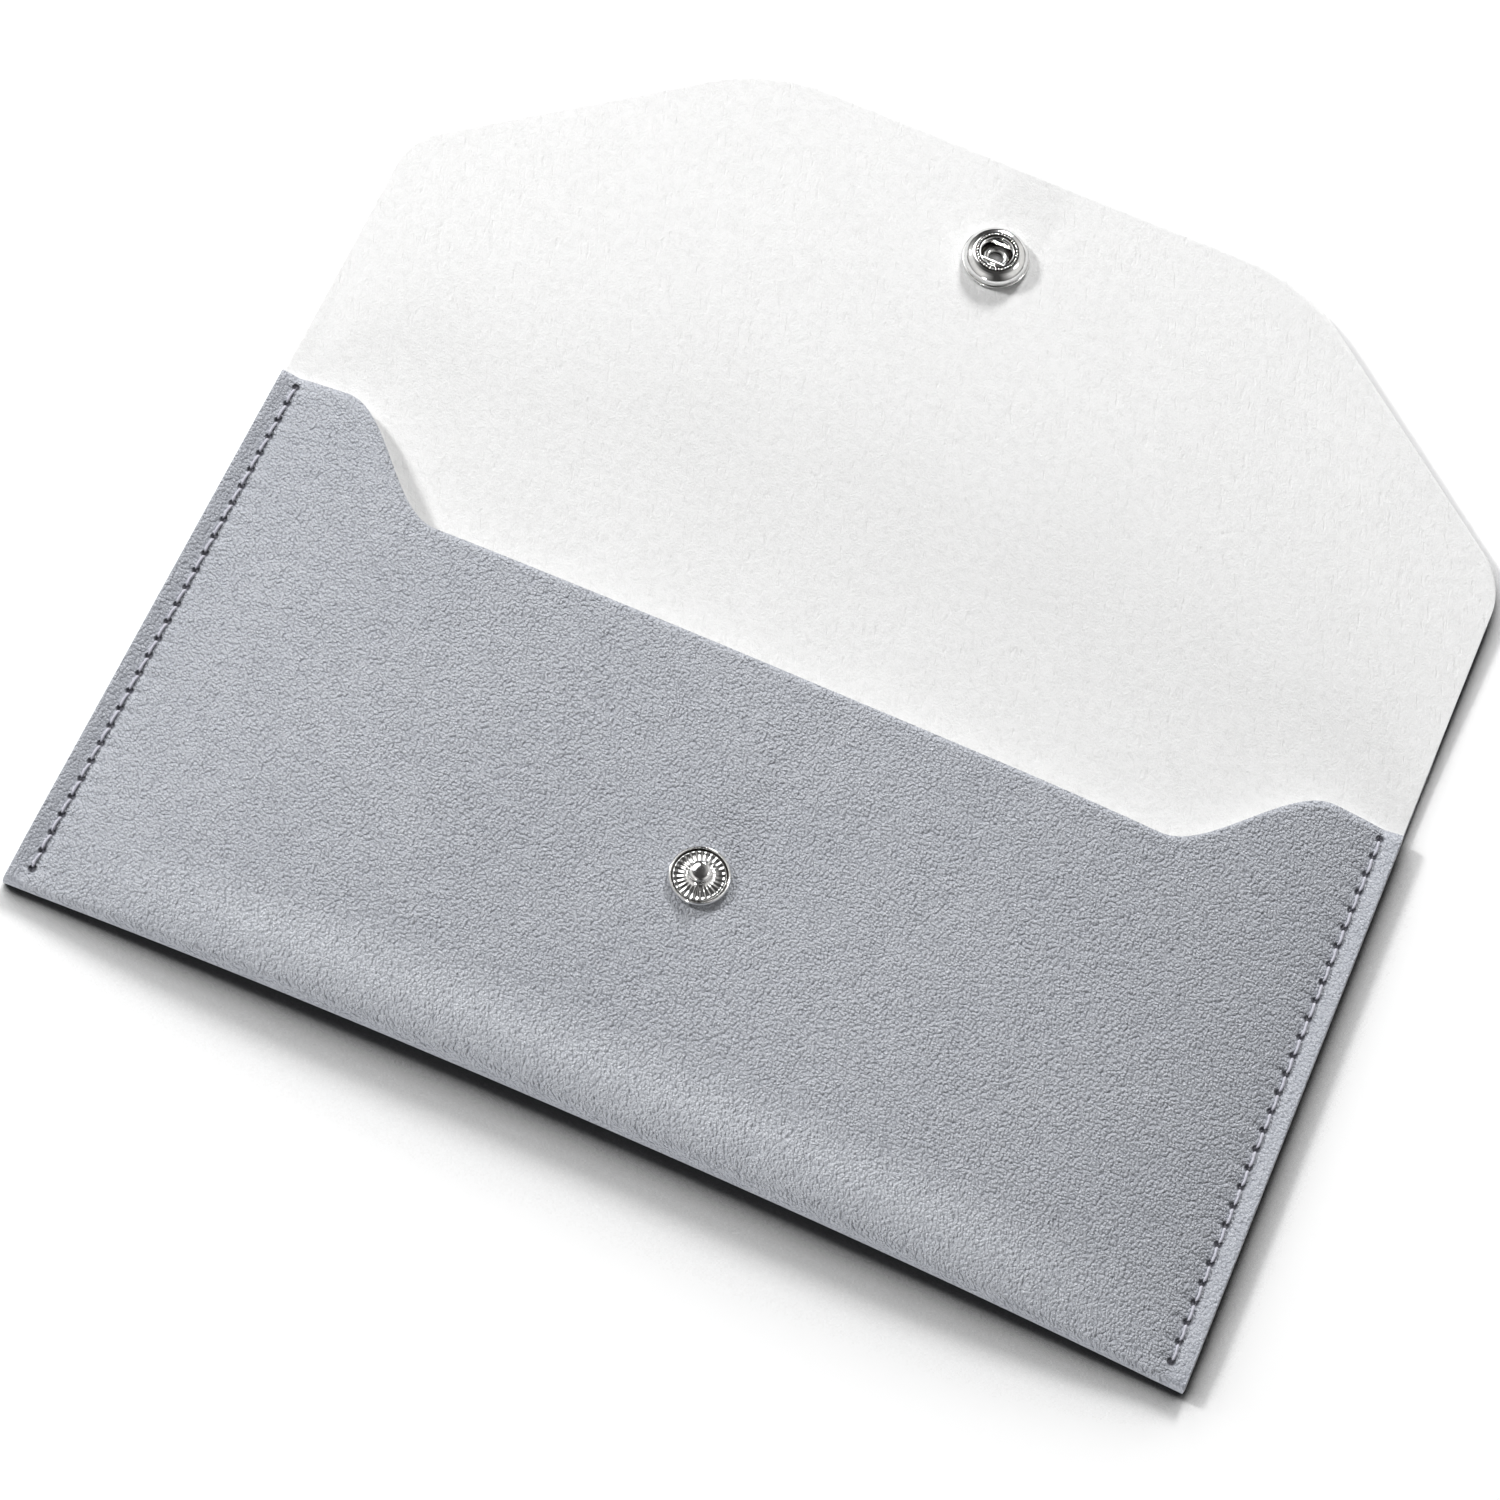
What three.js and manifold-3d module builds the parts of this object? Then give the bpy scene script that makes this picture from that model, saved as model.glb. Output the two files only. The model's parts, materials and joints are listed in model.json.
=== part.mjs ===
import * as THREE from 'three';
import { mergeGeometries, mergeVertices } from 'three/addons/utils/BufferGeometryUtils.js';
import Module from 'manifold-3d';

// An envelope wallet lying open on its back, in millimetres.
// One sheet of leather is folded up at the bottom into a pocket, sewn down both sides,
// and its upper end is the flap, which closes over the pocket with a snap.
// X runs along the bottom fold, Y from the bottom fold towards the flap, Z up.
// Heights along Y are counted from the bottom fold, and the origin is the middle of the back face.

const wasm = await Module();
wasm.setup();

// Leather sheet
const walletWidth = 190;
const leatherThickness = 1.0;
const bottomBow = 1.8; // how far the middle of the bottom fold is drawn in
const seamHeight = 95.5; // top of both shoulders of the front panel
const foldRise = 6.8; // from the shoulders to the line about which the flap turns
const foldRadius = 3.4; // from that line to the inner face of the sheet

// Mouth of the pocket, cut out of the front panel
const mouthHeight = 78.6;
const mouthHalfWidth = 60.6; // straight part of the mouth, from the middle
const shoulderRun = 23; // width of each S-shaped shoulder

// Crown of the front panel, which the contents have pushed up
const crownHeight = 5.2;
const crownFullness = 3.5; // a larger value gives a flatter middle and steeper sides
const crownMargin = 0.8; // from the stitched groove to the start of the crown
const seamParting = 0.1; // between the two layers inside the seam

// Stitching
const seamInset = 3.2;
const stitchPitch = 3.25;
const firstHoleHeight = 3.5;
const lastHoleDrop = 1.8; // last hole, down from the top of the shoulder
const needleHoleRadius = 0.55;
const threadRadius = 0.2;
const threadClearance = 0.08;
const stitchRise = 0.38; // from a hole's middle to where its thread reaches the face
const grooveDepth = 0.5; // how deep the stitches pull into each face
const grooveHalfWidth = 0.95;
const grooveFloorHalfWidth = 0.65;
const grooveFade = 0.9;

// Flap
const flapSideLength = 40.8; // straight side, from the fold line
const flapReach = 78.5; // from the fold line to the far edge
const flapEdgeHalfWidth = 47; // far edge, from the middle to its corner
const flapSideCornerRadius = 12;
const flapEndCornerRadius = 31;
const foldSlit = 0.3; // between the flap and the back panel along the fold line

// Snap
const studHeight = 42; // stud's centre, up from the bottom fold
const seatClearance = 0.1; // between metal and leather
const bodyClearance = 0.3; // round a post in its hole
const capRadius = 6.25;
const capHeight = 1.3;
const capTubeRadius = 1.5;
const capTubeBore = 1.1;
const capRollRadius = 2.15;
const capRollHeight = 0.4;
const socketRadius = 5.5;
const socketFloor = 0.35;
const socketHeight = 2.5;
const socketBoreRadius = 2.6;
const socketLip = 0.6; // height of the rolled edge round the dome
const springChamberRadius = 3.75;
const springChamberHeight = 0.65;
const springHeight = 1.95; // wire's centre above the socket's seat
const springBarOffset = 1.75;
const springWireRadius = 0.22;
const springReach = 3.45; // wire's centre at the round ends
const beadCount = 28;
const beadRingRadius = 3.12;
const beadRadius = 0.3;
const studRadius = 4.75;
const studRimHeight = 0.85;
const studNeckRadius = 1.32;
const studNeckHeight = 1.85;
const studHeadRadius = 1.68;
const studTopHeight = 2.74;
const studBoreRadius = 1.05;
const studBoreDepth = 2.1;
const fluteCount = 26;
const fluteDepth = 0.12;
const postRadius = 0.75;
const postFlangeRadius = 4.5;
const postFlangeThickness = 0.5;

// Facets
const shoulderSteps = 8;
const mouthSteps = 6; // across half of the straight mouth
const crownSteps = 3; // between the shoulder and the seam
const foldSteps = 8; // round the bottom fold
const cornerSteps = 10;
const turnedSteps = 36;
const domeSteps = 5;
const holeSides = 6;
const threadSides = 5;
const wireSides = 6;
const beadSides = 6;
const pointsPerStitch = 3;

// Derived places
const halfWidth = walletWidth / 2;
const seamX = halfWidth - seamInset;
const foldHeight = seamHeight + foldRise;
const crownHalfWidth = seamX - grooveHalfWidth - crownMargin;
const frontInnerHeight = leatherThickness + seamParting + crownHeight;
const frontOuterHeight = frontInnerHeight + leatherThickness;
const seamTopHeight = 2 * leatherThickness + seamParting;
const lastHoleHeight = seamHeight - lastHoleDrop;
const stitchCount = Math.round((lastHoleHeight - firstHoleHeight) / stitchPitch);
const holePitch = (lastHoleHeight - firstHoleHeight) / stitchCount;

// The hinge line stands above the sheet, so that the closed flap clears the full pocket.
// The socket's spring has to meet the stud's neck when the flap is closed.
const hingeHeight = leatherThickness + foldRadius;
const springLevel = seatClearance + springHeight;
const matingRadius = foldRadius - springLevel;
const studNeckRise = frontOuterHeight + seatClearance + studNeckHeight - hingeHeight;
const studDistance = foldHeight - studHeight;
const snapReach = Math.sqrt(studDistance ** 2 + studNeckRise ** 2 - matingRadius ** 2);

// Open, the flap rests on its cap, which tilts it up a little.
const capDrop = hingeHeight + seatClearance + capHeight;
const restTilt = Math.atan2(capDrop, snapReach) - Math.asin(hingeHeight / Math.hypot(capDrop, snapReach));

// Colours
const greyLeather = { color: 0xb0b3ba, roughness: 0.55, metalness: 0 };
const greyThread = { color: 0x8f909c, roughness: 0.7, metalness: 0 };
const nickel = { color: 0xd6d6d4, roughness: 0.22, metalness: 1 };
const springSteel = { color: 0xc9c9c6, roughness: 0.3, metalness: 1 };

function piece(name, geometry, finish) {
  const mesh = new THREE.Mesh(geometry, new THREE.MeshStandardMaterial(finish));
  mesh.name = name;
  return mesh;
}

// Solids for joining and cutting

function solid(geometry) {
  const bare = geometry.clone();
  bare.deleteAttribute('normal');
  bare.deleteAttribute('uv');
  const merged = mergeVertices(bare);
  const corners = merged.index.array;
  const kept = [];
  for (let i = 0; i < corners.length; i += 3) {
    const [a, b, c] = corners.slice(i, i + 3);
    if (a !== b && b !== c && c !== a) kept.push(a, b, c);
  }
  return new wasm.Manifold(new wasm.Mesh({
    numProp: 3,
    vertProperties: new Float32Array(merged.attributes.position.array),
    triVerts: new Uint32Array(kept),
  }));
}

function geometryOf(body) {
  const mesh = body.getMesh();
  const geometry = new THREE.BufferGeometry();
  geometry.setAttribute('position', new THREE.BufferAttribute(mesh.vertProperties, 3));
  geometry.setIndex(new THREE.BufferAttribute(mesh.triVerts, 1));
  geometry.computeVertexNormals();
  return geometry;
}

function turned(profile, steps) {
  const points = profile.map(([radius, height]) => new THREE.Vector2(radius, height));
  return new THREE.LatheGeometry(points, steps).rotateX(Math.PI / 2);
}

function upright(radius, bottom, top, sides) {
  const rod = new THREE.CylinderGeometry(radius, radius, top - bottom, sides).rotateX(Math.PI / 2);
  return rod.translate(0, 0, (bottom + top) / 2);
}

// Pocket

function layerGap(x) {
  const reach = Math.min(Math.abs(x) / crownHalfWidth, 1);
  return seamParting + crownHeight * (1 - reach ** crownFullness);
}

function bottomLine(x) {
  return bottomBow * (1 - (x / halfWidth) ** 2);
}

function mouthLine(x) {
  const step = THREE.MathUtils.smoothstep(Math.abs(x), mouthHalfWidth, mouthHalfWidth + shoulderRun);
  return mouthHeight + (seamHeight - mouthHeight) * step;
}

function spread(from, to, steps) {
  return Array.from({ length: steps }, (_, i) => from + ((to - from) * i) / steps);
}

// Places across the sheet, each with how far the stitches press it in there
function pocketStations() {
  const shoulderTop = mouthHalfWidth + shoulderRun;
  const smooth = [
    ...spread(0, mouthHalfWidth, mouthSteps),
    ...spread(mouthHalfWidth, shoulderTop, shoulderSteps),
    ...spread(shoulderTop, crownHalfWidth, crownSteps),
    crownHalfWidth,
    seamX - grooveHalfWidth,
  ].map((x) => ({ x, pressed: 0 }));
  const right = [
    ...smooth,
    { x: seamX - grooveFloorHalfWidth, pressed: 1 },
    { x: seamX + grooveFloorHalfWidth, pressed: 1 },
    { x: seamX + grooveHalfWidth, pressed: 0 },
    { x: halfWidth, pressed: 0 },
  ];
  const left = right.slice(1).reverse().map(({ x, pressed }) => ({ x: -x, pressed }));
  return [...left, ...right];
}

// Heights up a panel as shares of its length, with the ends of the stitched groove among them
function panelRows(top, grooveEnds) {
  const bottom = bottomLine(seamX) + leatherThickness + seamParting / 2;
  const share = (height) => (height - bottom) / (top - bottom);
  return [
    { share: 0, pressed: 0 },
    ...grooveEnds.map(({ height, pressed }) => ({ share: share(height), pressed })),
    { share: 1, pressed: grooveEnds.at(-1).pressed },
  ];
}

const grooveStart = [
  { height: firstHoleHeight - 2 * grooveFade, pressed: 0 },
  { height: firstHoleHeight - grooveFade, pressed: 1 },
];
const frontRows = panelRows(seamHeight, [
  ...grooveStart,
  { height: (firstHoleHeight + seamHeight) / 2, pressed: 1 },
]);
const backRows = panelRows(foldHeight, [
  ...grooveStart,
  { height: lastHoleHeight + grooveFade, pressed: 1 },
  { height: lastHoleHeight + 2 * grooveFade, pressed: 0 },
]).reverse();

// One section across the folded sheet: down the back, round the fold and up the front
function pocketSection({ x, pressed }) {
  const gap = layerGap(x);
  const outerRadius = leatherThickness + gap / 2;
  const innerRadius = gap / 2;
  const turnCentre = bottomLine(x) + outerRadius;
  const backTop = foldHeight - foldSlit / 2;
  const groove = pressed * grooveDepth;
  const back = backRows.map((row) => {
    const y = THREE.MathUtils.lerp(turnCentre, backTop, row.share);
    return { y, outer: groove * row.pressed, innerY: y, inner: leatherThickness };
  });
  const fold = spread(-Math.PI / 2, Math.PI / 2, foldSteps).slice(1).map((angle) => ({
    y: turnCentre - outerRadius * Math.cos(angle),
    outer: outerRadius * (1 + Math.sin(angle)),
    innerY: turnCentre - innerRadius * Math.cos(angle),
    inner: outerRadius + innerRadius * Math.sin(angle),
  }));
  const front = frontRows.map((row) => {
    const y = THREE.MathUtils.lerp(turnCentre, mouthLine(x), row.share);
    const outer = 2 * outerRadius - groove * row.pressed;
    return { y, outer, innerY: y, inner: leatherThickness + gap };
  });
  return [...back, ...fold, ...front];
}

function foldedSheet() {
  const stations = pocketStations();
  const sections = stations.map(pocketSection);
  const rows = sections[0].length;
  const positions = [];
  stations.forEach(({ x }, i) => {
    sections[i].forEach((point) => {
      positions.push(x, point.y, point.outer, x, point.innerY, point.inner);
    });
  });
  const outer = (i, j) => 2 * (i * rows + j);
  const inner = (i, j) => outer(i, j) + 1;
  const faces = [];
  const quad = (a, b, c, d) => faces.push(a, b, c, a, c, d);
  const lastColumn = stations.length - 1;
  const lastRow = rows - 1;
  for (let i = 0; i < lastColumn; i += 1) {
    for (let j = 0; j < lastRow; j += 1) {
      quad(outer(i, j), outer(i + 1, j), outer(i + 1, j + 1), outer(i, j + 1));
      quad(inner(i, j), inner(i, j + 1), inner(i + 1, j + 1), inner(i + 1, j));
    }
    quad(inner(i, 0), inner(i + 1, 0), outer(i + 1, 0), outer(i, 0));
    quad(outer(i, lastRow), outer(i + 1, lastRow), inner(i + 1, lastRow), inner(i, lastRow));
  }
  for (let j = 0; j < lastRow; j += 1) {
    quad(outer(0, j), outer(0, j + 1), inner(0, j + 1), inner(0, j));
    quad(inner(lastColumn, j), inner(lastColumn, j + 1), outer(lastColumn, j + 1), outer(lastColumn, j));
  }
  const geometry = new THREE.BufferGeometry();
  geometry.setAttribute('position', new THREE.Float32BufferAttribute(positions, 3));
  geometry.setIndex(faces);
  return geometry;
}

function needleHoles() {
  const holes = [];
  for (const side of [-1, 1]) {
    for (let i = 0; i <= stitchCount; i += 1) {
      const hole = upright(needleHoleRadius, -seamTopHeight, 2 * seamTopHeight, holeSides);
      holes.push(hole.translate(side * seamX, firstHoleHeight + i * holePitch, 0));
    }
  }
  return mergeGeometries(holes);
}

function pocket() {
  const postHole = upright(postRadius + bodyClearance, frontInnerHeight / 2, 2 * frontOuterHeight, cornerSteps);
  return geometryOf(
    solid(foldedSheet())
      .subtract(solid(needleHoles()))
      .subtract(solid(postHole.translate(0, studHeight, 0))),
  );
}

// Seam threads

// A thread lies on one face between two holes and dips to the middle of the seam in each hole.
class StitchLine extends THREE.Curve {
  constructor(x, faceHeight, dipHeight) {
    super();
    this.x = x;
    this.turns = [
      { offset: 0, height: dipHeight },
      { offset: stitchRise, height: faceHeight },
      { offset: holePitch - stitchRise, height: faceHeight },
      { offset: holePitch, height: dipHeight },
    ];
  }

  getPoint(share) {
    const stitch = Math.min(Math.floor(share * stitchCount), stitchCount - 1);
    const place = (share * stitchCount - stitch) * pointsPerStitch;
    const turn = Math.min(Math.floor(place), pointsPerStitch - 1);
    const from = this.turns[turn];
    const to = this.turns[turn + 1];
    const offset = THREE.MathUtils.lerp(from.offset, to.offset, place - turn);
    const height = THREE.MathUtils.lerp(from.height, to.height, place - turn);
    return new THREE.Vector3(this.x, firstHoleHeight + stitch * holePitch + offset, height);
  }

  // Points are spread evenly over the turns rather than over the length.
  getUtoTmapping(share) {
    return share;
  }
}

function roundSection(radius, sides) {
  const corners = Array.from({ length: sides }, (_, i) => {
    const angle = (2 * Math.PI * i) / sides;
    return new THREE.Vector2(radius * Math.cos(angle), radius * Math.sin(angle));
  });
  return new THREE.Shape(corners);
}

function seamThread(x, faceHeight, dipHeight) {
  return new THREE.ExtrudeGeometry(roundSection(threadRadius, threadSides), {
    extrudePath: new StitchLine(x, faceHeight, dipHeight),
    steps: stitchCount * pointsPerStitch,
    bevelEnabled: false,
  });
}

// Flap

function roundedShape(corners) {
  const shape = new THREE.Shape();
  corners.forEach(({ point, radius }, i) => {
    const before = corners.at(i - 1).point;
    const after = corners[(i + 1) % corners.length].point;
    const toBefore = before.clone().sub(point).normalize();
    const toAfter = after.clone().sub(point).normalize();
    if (radius === 0) {
      if (i === 0) shape.moveTo(point.x, point.y);
      else shape.lineTo(point.x, point.y);
      return;
    }
    const half = Math.acos(toBefore.dot(toAfter)) / 2;
    const middle = toBefore.clone().add(toAfter).setLength(radius / Math.sin(half)).add(point);
    const start = toBefore.multiplyScalar(radius / Math.tan(half)).add(point).sub(middle);
    const end = toAfter.multiplyScalar(radius / Math.tan(half)).add(point).sub(middle);
    shape.absarc(middle.x, middle.y, radius, start.angle(), end.angle(), false);
  });
  shape.closePath();
  return shape;
}

function flap() {
  const root = foldSlit / 2;
  const corner = (x, y, radius) => ({ point: new THREE.Vector2(x, y), radius });
  const shape = roundedShape([
    corner(-halfWidth, root, 0),
    corner(halfWidth, root, 0),
    corner(halfWidth, flapSideLength, flapSideCornerRadius),
    corner(flapEdgeHalfWidth, flapReach, flapEndCornerRadius),
    corner(-flapEdgeHalfWidth, flapReach, flapEndCornerRadius),
    corner(-halfWidth, flapSideLength, flapSideCornerRadius),
  ]);
  const tubeHole = new THREE.Path();
  tubeHole.absarc(0, snapReach, capTubeRadius + bodyClearance, 0, 2 * Math.PI, true);
  shape.holes.push(tubeHole);
  return new THREE.ExtrudeGeometry(shape, {
    depth: leatherThickness,
    bevelEnabled: false,
    curveSegments: cornerSteps,
  });
}

// Snap, each piece with its seat on the leather at height zero

function snapCap() {
  const leatherSide = leatherThickness + 2 * seatClearance;
  const rollBottom = leatherSide + socketFloor + seatClearance;
  const rollTop = rollBottom + capRollHeight;
  const rollMiddle = (rollBottom + rollTop) / 2;
  const rollWidth = capRollRadius - capTubeBore;
  return turned([
    [0, -capHeight],
    [capRadius * 0.45, -capHeight * 0.93],
    [capRadius * 0.8, -capHeight * 0.68],
    [capRadius * 0.95, -capHeight * 0.42],
    [capRadius, -capHeight * 0.2],
    [capRadius * 0.97, 0],
    [capTubeRadius, 0],
    [capTubeRadius, rollBottom],
    [capRollRadius - rollWidth * 0.15, rollBottom],
    [capRollRadius, rollMiddle],
    [capRollRadius - rollWidth * 0.3, rollTop],
    [capTubeBore + rollWidth * 0.3, rollTop],
    [capTubeBore, rollMiddle],
    [capTubeBore, 0],
    [0, 0],
  ], turnedSteps);
}

function snapSocket() {
  const chamberTop = springHeight + springChamberHeight / 2;
  const chamberBottom = springHeight - springChamberHeight / 2;
  const domeTop = beadRingRadius + beadRadius;
  const domeReach = socketRadius * 0.94 - domeTop;
  const dome = spread(0, Math.PI / 2, domeSteps).map((angle) => [
    domeTop + domeReach * Math.cos(angle),
    THREE.MathUtils.lerp(socketLip * 0.9, socketHeight, Math.sin(angle)),
  ]);
  const ring = turned([
    [capTubeRadius + bodyClearance, 0],
    [socketRadius * 0.98, 0],
    [socketRadius, socketLip * 0.35],
    [socketRadius * 0.99, socketLip * 0.75],
    [socketRadius * 0.965, socketLip],
    ...dome,
    [domeTop, socketHeight],
    [beadRingRadius - beadRadius, socketHeight],
    [socketBoreRadius, (chamberTop + socketHeight) / 2],
    [socketBoreRadius, chamberTop],
    [springChamberRadius, chamberTop],
    [springChamberRadius, chamberBottom],
    [socketBoreRadius, chamberBottom],
    [socketBoreRadius, socketFloor],
    [capTubeRadius + bodyClearance, socketFloor],
    [capTubeRadius + bodyClearance, 0],
  ], turnedSteps);
  const beads = Array.from({ length: beadCount }, (_, i) => {
    const bead = new THREE.SphereGeometry(beadRadius, beadSides, beadSides / 2).rotateX(Math.PI / 2);
    return bead.translate(beadRingRadius, 0, socketHeight).rotateZ((2 * Math.PI * i) / beadCount);
  });
  return geometryOf(solid(ring).add(solid(mergeGeometries(beads))));
}

// The wire is an oblong ring with a slit at one end.
class WireLine extends THREE.Curve {
  constructor(outline) {
    super();
    this.outline = outline;
  }

  getPoint(share) {
    const point = this.outline.getPoint(share);
    return new THREE.Vector3(point.x, point.y, 0);
  }
}

function socketSpring() {
  const bend = springReach - springBarOffset;
  const slit = Math.PI / 8;
  const outline = new THREE.Path();
  outline.absarc(-bend, 0, springBarOffset, Math.PI + slit, 1.5 * Math.PI, false);
  outline.absarc(bend, 0, springBarOffset, -Math.PI / 2, Math.PI / 2, false);
  outline.absarc(-bend, 0, springBarOffset, Math.PI / 2, Math.PI - slit, false);
  return new THREE.ExtrudeGeometry(roundSection(springWireRadius, wireSides), {
    extrudePath: new WireLine(outline),
    steps: turnedSteps,
    bevelEnabled: false,
  });
}

function snapStud() {
  const lip = studRadius * 0.1;
  const dishRadius = studRadius - lip;
  const dishHeight = studRimHeight * 0.5;
  const headHeight = (studNeckHeight + studTopHeight) / 2;
  const steps = 2 * fluteCount;
  const geometry = turned([
    [0, studBoreDepth],
    [studBoreRadius, studBoreDepth],
    [studBoreRadius, 0],
    [studRadius - lip / 2, 0],
    [studRadius, studRimHeight * 0.2],
    [studRadius, studRimHeight * 0.75],
    [studRadius - lip / 3, studRimHeight],
    [dishRadius, studRimHeight],
    [dishRadius - lip / 2, studRimHeight * 0.75],
    [dishRadius - lip, dishHeight],
    [(dishRadius + studHeadRadius) / 2, dishHeight],
    [studHeadRadius + lip, dishHeight * 1.2],
    [studHeadRadius, dishHeight * 2],
    [studNeckRadius, studNeckHeight - springWireRadius],
    [studNeckRadius, studNeckHeight + springWireRadius / 2],
    [studHeadRadius * 0.97, headHeight - 0.1],
    [studHeadRadius, headHeight],
    [studHeadRadius * 0.93, (headHeight + studTopHeight) / 2],
    [studHeadRadius * 0.6, studTopHeight - 0.06],
    [0, studTopHeight],
  ], steps);
  const position = geometry.attributes.position;
  for (let i = 0; i < position.count; i += 1) {
    const radius = Math.hypot(position.getX(i), position.getY(i));
    const fluted = radius > studHeadRadius + lip / 2 && radius < dishRadius - lip / 2;
    const step = Math.round((Math.atan2(position.getY(i), position.getX(i)) * steps) / (2 * Math.PI));
    const onDish = position.getZ(i) > 0;
    if (fluted && onDish && step % 2 === 0) position.setZ(i, position.getZ(i) + fluteDepth);
  }
  return geometry;
}

function snapPost() {
  const flangeBottom = -postFlangeThickness;
  const top = leatherThickness + 2 * seatClearance + studBoreDepth - bodyClearance;
  return turned([
    [0, flangeBottom],
    [postFlangeRadius * 0.5, flangeBottom],
    [postFlangeRadius * 0.9, flangeBottom * 0.8],
    [postFlangeRadius, flangeBottom * 0.4],
    [postFlangeRadius * 0.96, 0],
    [postRadius, 0],
    [postRadius, top - postRadius / 3],
    [postRadius * 0.7, top],
    [0, top],
  ], turnedSteps);
}

// Assembly

const frontThreadHeight = seamTopHeight - grooveDepth + threadClearance + threadRadius;
const backThreadHeight = grooveDepth - threadClearance - threadRadius;
const seamMiddle = seamTopHeight / 2;
const dipOffset = threadRadius + threadClearance / 2;

const pocketGroup = new THREE.Group();
pocketGroup.add(piece('pocket', pocket(), greyLeather));
for (const [side, x] of [['left', -seamX], ['right', seamX]]) {
  const needleThread = seamThread(x, frontThreadHeight, seamMiddle + dipOffset);
  const bobbinThread = seamThread(x, backThreadHeight, seamMiddle - dipOffset);
  pocketGroup.add(piece(`${side}_needle_thread`, needleThread, greyThread));
  pocketGroup.add(piece(`${side}_bobbin_thread`, bobbinThread, greyThread));
}
const stud = piece('snap_stud', snapStud(), nickel);
stud.position.set(0, studHeight, frontOuterHeight + seatClearance);
const post = piece('stud_post', snapPost(), nickel);
post.position.set(0, studHeight, frontInnerHeight - seatClearance);
pocketGroup.add(stud, post);

// The flap group turns about the hinge line, and its own zero is on that line.
const flapGroup = new THREE.Group();
flapGroup.position.set(0, foldHeight, hingeHeight);
flapGroup.rotation.x = restTilt;
const flapSheet = piece('flap', flap(), greyLeather);
flapSheet.position.z = -hingeHeight;
const cap = piece('snap_cap', snapCap(), nickel);
cap.position.set(0, snapReach, -hingeHeight - seatClearance);
const socket = piece('snap_socket', snapSocket(), nickel);
socket.position.set(0, snapReach, seatClearance - foldRadius);
const spring = piece('socket_spring', socketSpring(), springSteel);
spring.position.set(0, snapReach, springLevel - foldRadius);
flapGroup.add(flapSheet, cap, socket, spring);

const wallet = new THREE.Group();
wallet.position.y = -seamHeight / 2;
wallet.add(pocketGroup, flapGroup);

export default wallet;
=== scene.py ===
import json
import math

import bmesh
import bpy
import numpy as np
from mathutils import Matrix, Vector


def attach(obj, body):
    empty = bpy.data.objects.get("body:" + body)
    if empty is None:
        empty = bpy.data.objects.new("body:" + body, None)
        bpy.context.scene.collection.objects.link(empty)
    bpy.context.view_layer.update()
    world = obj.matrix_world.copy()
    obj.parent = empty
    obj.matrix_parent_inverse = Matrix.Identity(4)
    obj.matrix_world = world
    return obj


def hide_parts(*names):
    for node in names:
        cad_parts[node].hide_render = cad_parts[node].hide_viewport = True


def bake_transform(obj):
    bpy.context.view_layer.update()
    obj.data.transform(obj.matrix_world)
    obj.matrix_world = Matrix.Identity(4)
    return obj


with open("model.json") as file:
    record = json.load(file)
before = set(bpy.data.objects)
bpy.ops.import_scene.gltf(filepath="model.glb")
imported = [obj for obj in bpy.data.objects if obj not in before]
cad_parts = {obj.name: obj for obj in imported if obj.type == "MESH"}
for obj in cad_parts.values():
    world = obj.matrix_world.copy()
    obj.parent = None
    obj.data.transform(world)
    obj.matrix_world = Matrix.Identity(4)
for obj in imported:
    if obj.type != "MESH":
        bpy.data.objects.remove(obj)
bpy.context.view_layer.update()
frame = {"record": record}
print("wallet: frame loaded")

mm = 0.001
pocketBody = "pocket_body"
flapBody = "flap_body"


# Camera and light, fitted to the picture: the wallet lies turned, seen from above its bottom fold
view = {
    "place": (0.0638, -0.23155, 0.5864),
    "level": (0.91664, 0.39426, 0.06579),  # picture's right-hand direction
    "sight": (-0.10283, 0.39165, -0.91435),
    "lens": 100.2,
    "sensor": 36.0,
}

light = {
    "lamps": {
        # place, width and watts
        "topLamp": ((-0.60, 0.70, 1.31), 0.70, 3.9),
        "leftLamp": ((-1.10, 0.30, 0.68), 0.20, 12.0),
        "rearLamp": ((-0.15, 1.65, 0.75), 0.36, 31.0),
        "rightLamp": ((0.70, 0.55, 1.20), 0.30, 1.8),
        "frontLamp": ((-0.20, -1.40, 0.13), 0.22, 14.0),
    },
    "sky": 0.02,
    "screenTurn": 5.25,  # where the bright screens stand round the metal
    "darkMirror": 0.06,  # what the metal mirrors overhead and low down
    "brightMirror": 0.88,
    "floorGain": 1.18,  # whitens the floor where it is seen, and keeps its shadow
    "floorSize": 1.6,
    "floorTone": [0.93, 0.93, 0.93],
    "floorShade": [0.92, 0.92, 0.92],
    "shadeFrom": (-0.50, 0.78, 0.38),  # side that the floor's painted soft contact shadow falls away from
    "shadeReach": 0.034,
    "shadeTone": 0.06,
}


def makeCamera():
    right = Vector(view["level"]).normalized()
    ahead = Vector(view["sight"]).normalized()
    up = right.cross(ahead).normalized()
    right = ahead.cross(up).normalized()
    turn = Matrix((right, up, -ahead)).transposed().to_4x4()
    data = bpy.data.cameras.new("walletCamera")
    data.lens = view["lens"]
    data.sensor_width = view["sensor"]
    data.clip_start = 0.01
    camera = bpy.data.objects.new("walletCamera", data)
    camera.matrix_world = Matrix.Translation(Vector(view["place"])) @ turn
    bpy.context.scene.collection.objects.link(camera)
    bpy.context.scene.camera = camera


def makeLamp(name, place, size, power):
    data = bpy.data.lights.new(name, "AREA")
    data.shape = "DISK"
    data.size = size
    data.energy = power
    lamp = bpy.data.objects.new(name, data)
    lamp.location = place
    lamp.rotation_euler = (-Vector(place)).to_track_quat("-Z", "Y").to_euler()
    bpy.context.scene.collection.objects.link(lamp)


# Node helpers

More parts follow.
